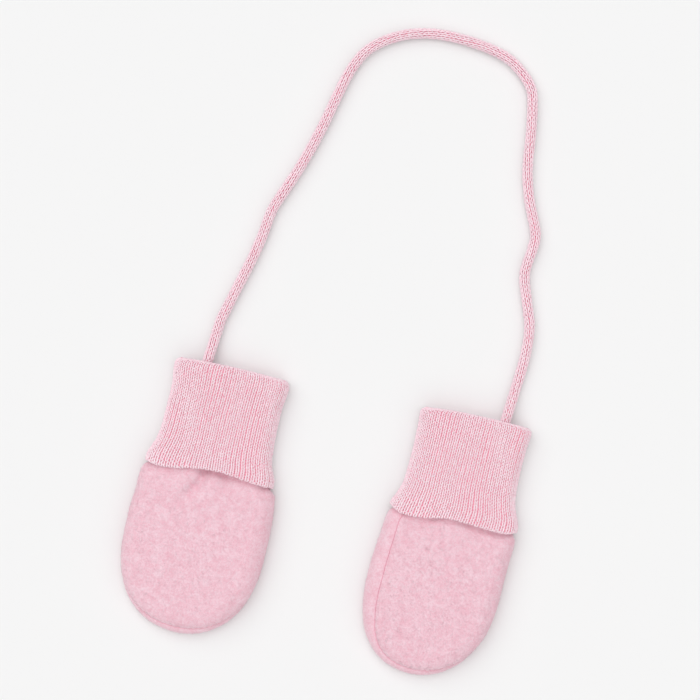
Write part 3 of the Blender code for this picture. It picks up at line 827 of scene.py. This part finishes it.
class Stations:
    """Sections of the bag, from the left of its neck round the toe to the right of its neck. Each has a
    point of the outline, a point of the spine, their rows, and its way round from 0 to 1."""

    def __init__(self, mitten, step):
        side_y = np.array(SIDE_ROWS) * MM
        y = np.linspace(side_y[0], side_y[-1], int((side_y[0] - side_y[-1]) / step))
        left, right = table(mitten, "bag", 1, y), table(mitten, "bag", 2, y)
        spine = np.stack([(right - left) / 2, y], 1)
        half, centre = (left[-1] + right[-1]) / 2, spine[-1]
        turn = np.linspace(0, math.pi, 2000)
        down = np.sin(turn) ** (2 / TOE_POWER)
        toe = np.stack([centre[0] - half * np.cos(turn) + mitten["toe_drift"] * MM * down**2,
                        TOE_START_Y + (TOE_Y - TOE_START_Y) * down], 1)
        along = np.concatenate([[0], np.cumsum(np.linalg.norm(np.diff(toe, axis=0), axis=1))])
        at = np.linspace(0, along[-1], int(along[-1] / step))[1:-1]
        toe = np.stack([np.interp(at, along, toe[:, k]) for k in (0, 1)], 1)
        toe_turn = np.interp(at, along, turn)
        count = len(SIDE_ROWS) - 1
        last = 2 * count + TOE_STEPS
        down_side = np.interp(-y, -side_y, np.arange(count + 1))
        self.way = np.concatenate([down_side, count + TOE_STEPS * toe_turn / math.pi,
                                   last - down_side[::-1]]) / last
        self.outline = np.vstack([np.stack([-left, y], 1), toe, np.stack([right, y], 1)[::-1]])
        self.spine = np.vstack([spine, np.repeat(centre[None], len(toe), 0), spine[::-1]])
        self.row_y = np.concatenate([y, np.full(len(toe), TOE_START_Y), y[::-1]])
        self.height_y = np.concatenate([y, toe[:, 1], y[::-1]])
        steps = np.linalg.norm(np.diff(self.outline, axis=0), axis=1)
        self.along = np.concatenate([[0], np.cumsum(steps)])
        self.seam = read_table(mitten["seam"], 1, self.way)


def bag_heights(mitten, row_y):
    """Underside, top and widest line of the bag at rows, and how much its top is crowned."""
    past_rim = RIM_Y - row_y - NECK_CLEAR
    neck_top = table(mitten, "cuff", 3, row_y) - RIB - NECK_GAP
    spring = np.clip(past_rim / NECK_SPRING, 0.0, 1.0)
    high = neck_top + (table(mitten, "bag", 3, row_y) - neck_top) * (1 - (1 - spring) ** SPRING_POWER)
    low = (RIB + NECK_GAP) * (1 - ease(past_rim / NECK_DROP))
    return low, high, low + WIDEST_HEIGHT * (high - low), CUFF_CROWN + (BAG_CROWN - CUFF_CROWN) * spring


def rim_follow(row_y):
    """How closely a row of the bag follows the waves of the rib's rim."""
    return ease((row_y - FOLLOW_START_Y) / FOLLOW_REACH) * ease((FLEECE_TOP_Y - row_y) / FOLLOW_END)


def bag_face(mitten, stations, turn):
    """Points of the bag's outer face, a row for each station. The turn is 180 on the spine on top, 90
    where the upper rounding starts, 0 on the widest line, and below 0 underneath."""
    to_spine = stations.spine - stations.outline
    reach = np.linalg.norm(to_spine, axis=1)[:, None]
    rounding = np.where(turn > 0, RIM_ROUND_TOP, RIM_ROUND_LOW)
    angle = np.radians(np.minimum(np.abs(turn), 90.0))
    flat = np.maximum(np.abs(turn) - 90.0, 0.0) / 90.0
    share = (rounding * (1 - np.cos(angle)) + flat * (reach - rounding)) / reach
    x = stations.outline[:, None, 0] + to_spine[:, None, 0] * share
    y = stations.outline[:, None, 1] + to_spine[:, None, 1] * share
    over = 0.5 + 0.5 * np.sin(np.copysign(angle, turn))
    y = y + rim_follow(stations.row_y)[:, None] * rim_offset(mitten, x, over)
    row_y = stations.height_y[:, None] + (stations.row_y - stations.height_y)[:, None] * share
    low, high, middle, crown = bag_heights(mitten, row_y)
    crowned = high + crown * (1 - (1 - share) ** 2)
    to_edge = np.where(turn > 0, crowned - middle, low - middle)
    return np.stack([x, y, middle + to_edge * np.sin(angle)], 2)


def bag_frame(mitten, stations, turn):
    """Points of the outer face, the way along it towards a higher turn, and the way out of the cloth."""
    point = bag_face(mitten, stations, turn)
    change = bag_face(mitten, stations, turn + 0.5) - bag_face(mitten, stations, turn - 0.5)
    inward = stations.spine - stations.outline
    inward = (inward / np.linalg.norm(inward, axis=1, keepdims=True))[:, None]
    run = (change[..., :2] * inward).sum(axis=2)
    rise = change[..., 2]
    size = np.hypot(run, rise)
    run, rise = run / size, rise / size
    along = np.stack([inward[..., 0] * run, inward[..., 1] * run, rise], 2)
    out = np.stack([-inward[..., 0] * rise, -inward[..., 1] * rise, run], 2)
    on_spine = np.abs(np.broadcast_to(turn, run.shape)) == 180.0
    out[on_spine] = 0.0
    out[on_spine, 2] = np.sign(np.broadcast_to(turn, run.shape)[on_spine])
    return point, along, out


def fold_relief(folds, x, y):
    """How far the cloth is sunk at points by soft folds, each with its own place, depth and width. Each
    fold wanders a little from its line, starts softly, and fades out past its end."""
    sunk = np.zeros(x.shape)
    for k, (x0, y0, x1, y1, depth, width) in enumerate(folds):
        length = math.hypot(x1 - x0, y1 - y0)
        dx, dy = (x1 - x0) / length, (y1 - y0) / length
        f = ((x / MM - x0) * dx + (y / MM - y0) * dy) / length
        aside = (x / MM - x0) * dy - (y / MM - y0) * dx
        aside = aside + 0.35 * width * np.sin(5.0 * f + 1.7 * k)
        fade = ease((f + 0.2) / 0.25) * ease((1.15 - f) / 0.75)
        sunk += depth * MM * fade * np.exp(-(aside / width) ** 2)
    return sunk


def nap_relief(points):
    """The fleece's own unevenness, in small lumps of several sizes."""
    return sum(height * MM * noise_at(points, size * MM, k) for k, (height, size) in enumerate(LUMPS, 1))


def panel_skin(mitten, stations, up, flat_steps, arc_steps):
    """A panel's outer face from the spine to where its edge turns in, as points and the ways out."""
    seam = stations.seam[:, None]
    across = bag_face(mitten, stations, seam + 1) - bag_face(mitten, stations, seam - 1)
    per_metre = 2.0 / np.linalg.norm(across, axis=2)
    edge = seam + up * LIP * per_metre
    flat = up * (180.0 - 90.0 * np.arange(flat_steps) / flat_steps)
    turns = np.hstack([np.repeat(flat[None], len(edge), 0),
                       90.0 * up + (edge - 90.0 * up) * np.arange(arc_steps + 1) / arc_steps])
    return bag_frame(mitten, stations, turns)


def sunk_at(mitten, stations, point, out, up, drawn):
    """How far the cloth is sunk at points of a panel: by its folds, by its tuck under the rim, and by the
    seam, drawn being how close each station is to one of its stitches."""
    facing = np.clip(out[..., 2] * up * 1.6 - 0.2, 0, 1)
    sunk = fold_relief(mitten["folds" if up > 0 else "folds_under"], point[..., 0], point[..., 1]) * facing
    past_rim = RIM_Y + rim_offset(mitten, point[..., 0], 0.5 + 0.5 * up) - point[..., 1]
    sunk += (table(mitten, "tuck", 1, point[..., 0]) * np.clip(0.4 + out[..., 2] * up, 0, 1)
             * np.exp(-((past_rim - 0.3 * TUCK_REACH) / TUCK_REACH) ** 2))
    at_seam = bag_face(mitten, stations, stations.seam[:, None])
    from_seam = np.linalg.norm(point - at_seam, axis=2)
    return sunk + (SEAM_DRAW + PUCKER * drawn[:, None]) * np.exp(-(from_seam / SEAM_REACH) ** 2)


def turned_edge(mitten, stations, up, drawn):
    """A panel's edge where it turns down into the seam, pinched by each stitch, and then its inner corner."""
    at_seam, along, out = bag_frame(mitten, stations, stations.seam[:, None])
    bend = 0.5 * math.pi * np.arange(1, LIP_STEPS + 1) / LIP_STEPS
    aside = np.broadcast_to(LIP * (1 - np.sin(bend)), (len(drawn), len(bend)))
    deep = LIP_DEPTH * (1 - np.cos(bend)) + (SEAM_DRAW + PUCKER * drawn)[:, None]
    lip = at_seam + along * (up * aside)[..., None] - out * deep[..., None]
    lip = lip + out * (0.5 * nap_relief(lip))[..., None]
    return np.concatenate([lip, at_seam - out * FLEECE], axis=1)


def build_panel(mitten, name, up, material, painted_seam_shade, step, flat_steps, arc_steps):
    """One fleece panel: outer face, turned edge at the seam, whose inner half is coloured partly as painted
    shade, and a coarser inner face.
    outer face's points and the ways out of it, for the loose fibres."""
    side = mitten["side"]
    stations = Stations(mitten, step)
    point, _, out = panel_skin(mitten, stations, up, flat_steps, arc_steps)
    drawn = 0.5 + 0.5 * np.cos(2 * math.pi * stations.along / SEAM_STITCH
                               + 1.6 * np.sin(stations.along / SEAM_WANDER))
    sunk = sunk_at(mitten, stations, point, out, up, drawn)
    outer = point + out * (nap_relief(point) - sunk)[..., None]
    outer[..., 2] = np.maximum(outer[..., 2], FLOOR_CLEAR)
    edge = turned_edge(mitten, stations, up, drawn)

    # the inner face, with every third column
    keep = np.arange(point.shape[1] - 1, -1, -3)
    if keep[-1] != 0:
        keep = np.append(keep, 0)
    inner = (point - out * (FLEECE + sunk)[..., None])[:, keep]
    grid = placed(mitten, np.concatenate([outer, edge, inner], axis=1))
    rows, columns = grid.shape[:2]
    quads = grid_faces(rows, columns).reshape(rows - 1, columns - 1, 4)
    # the inner half of the turned edge takes the seam's darker pink, partly painted shade in the groove
    in_seam = slice(outer.shape[1] + LIP_STEPS // 2 - 1, outer.shape[1] + LIP_STEPS)
    painted_seam_shade_quads = quads[:, in_seam].reshape(-1, 4)
    quads = np.concatenate([quads[:, :in_seam.start], quads[:, in_seam.stop:]], axis=1).reshape(-1, 4)
    caps = [np.arange(columns)[None], (rows - 1) * columns + np.arange(columns)[None, ::-1]]
    panel = new_piece(f"{side}_{name}_fleece", grid.reshape(-1, 3),
                      [(material, [quads] + caps), (painted_seam_shade, [painted_seam_shade_quads])],
                      f"{side}_{name}_panel")
    weld(panel)
    return panel, placed(mitten, outer), turned(mitten, out)


def turned(mitten, ways):
    """Directions of a mitten's own frame, in the shared frame."""
    origin = placed(mitten, np.zeros(3))
    return placed(mitten, ways) - origin


def build_nap(name, material, outer, out, count, rng):
    """Short loose fibres on a panel, combed this way and that, each a thin closed spike."""
    rows, columns = outer.shape[:2]
    a, b = outer[1:, :-1] - outer[:-1, :-1], outer[:-1, 1:] - outer[:-1, :-1]
    area = np.linalg.norm(np.cross(a, b), axis=2).ravel()
    pick = rng.choice(len(area), size=count, p=area / area.sum())
    r, c = pick // (columns - 1), pick % (columns - 1)
    f, g = rng.random((2, count, 1))
    root = outer[r, c] + a[r, c] * f + b[r, c] * g
    normal = out[r, c]
    comb = np.stack([noise_at(root, COMB_SIZE, seed) for seed in (5, 6, 7)], 1)
    comb = comb * COMB_PULL + COMB_STRAY * rng.normal(size=(count, 3))
    comb -= normal * (comb * normal).sum(axis=1, keepdims=True)
    comb /= np.linalg.norm(comb, axis=1, keepdims=True) + 1e-9
    rise = rng.uniform(*FIBRE_RISE, (count, 1))
    way = comb * np.sqrt(1 - rise**2) + normal * rise
    length = rng.uniform(*FIBRE_LENGTH, (count, 1)) * MM
    thick = rng.uniform(*FIBRE_RADIUS, (count, 1)) * MM
    side = np.cross(way, normal)
    side /= np.linalg.norm(side, axis=1, keepdims=True) + 1e-9
    over = np.cross(side, way)
    root = root - normal * FIBRE_ROOT
    corners = [root + side * thick, root - side * thick * 0.5 + over * thick * 0.87,
               root - side * thick * 0.5 - over * thick * 0.87, root + way * length]
    points = np.stack(corners, 1).reshape(-1, 3)
    points[:, 2] = np.maximum(points[:, 2], 0.6 * FLOOR_CLEAR)
    faces = np.array([(0, 2, 1), (0, 1, 3), (1, 2, 3), (2, 0, 3)])
    faces = (faces[None] + 4 * np.arange(count)[:, None, None]).reshape(-1, 3)
    return new_piece(name, points, [(material, [faces])])


# ---- the scene ----

def main():
    """Camera, light and floor, and then the cord and both mittens."""
    add_camera()
    add_studio()
    yarn = cloth_material("rib_yarn", YARN_PINKS, 1.6 * MM, 0.5 * MM, 0.15 * MM, 0.14)
    # deep is pink darkened as painted shade: the shade in the gaps between the yarn legs, on the cuffs'
    # shells and the cord's core
    deep = cloth_material("rib_painted_shade", PAINTED_SHADE_PINKS, 1.6 * MM, 0.5 * MM, 0.15 * MM, 0.0)
    fleece = cloth_material("fleece_body", FLEECE_PINKS, 4.0 * MM, 0.9 * MM, 0.3 * MM, 0.7)
    # the seam's darker pink: partly flattened nap, partly painted shade in the groove
    painted_seam_shade = cloth_material("fleece_seam_painted_shade", SEAM_PAINTED_SHADE_PINKS, 4.0 * MM, 0.6 * MM, 0.2 * MM, 0.2)
    fibre = cloth_material("fleece_fibre", FIBRE_PINKS, 6.0 * MM, 0.6 * MM, 0.05 * MM, 0.7)
    build_cord(yarn, deep)
    for number, mitten in enumerate((LEFT, RIGHT)):
        build_cuff(mitten, yarn, deep, SEED + 10 + number)
        for name, up, step, flat_steps, arc_steps, fibres in (("front", 1, 0.72 * MM, 44, 12, 18000),
                                                              ("back", -1, 1.1 * MM, 28, 16, 8000)):
            panel, outer, out = build_panel(mitten, name, up, fleece, painted_seam_shade, step, flat_steps, arc_steps)
            rng = np.random.default_rng(SEED + 20 + number + 2 * up)
            nap = build_nap(f"{mitten['side']}_{name}_nap", fibre, outer, out, fibres, rng)


main()
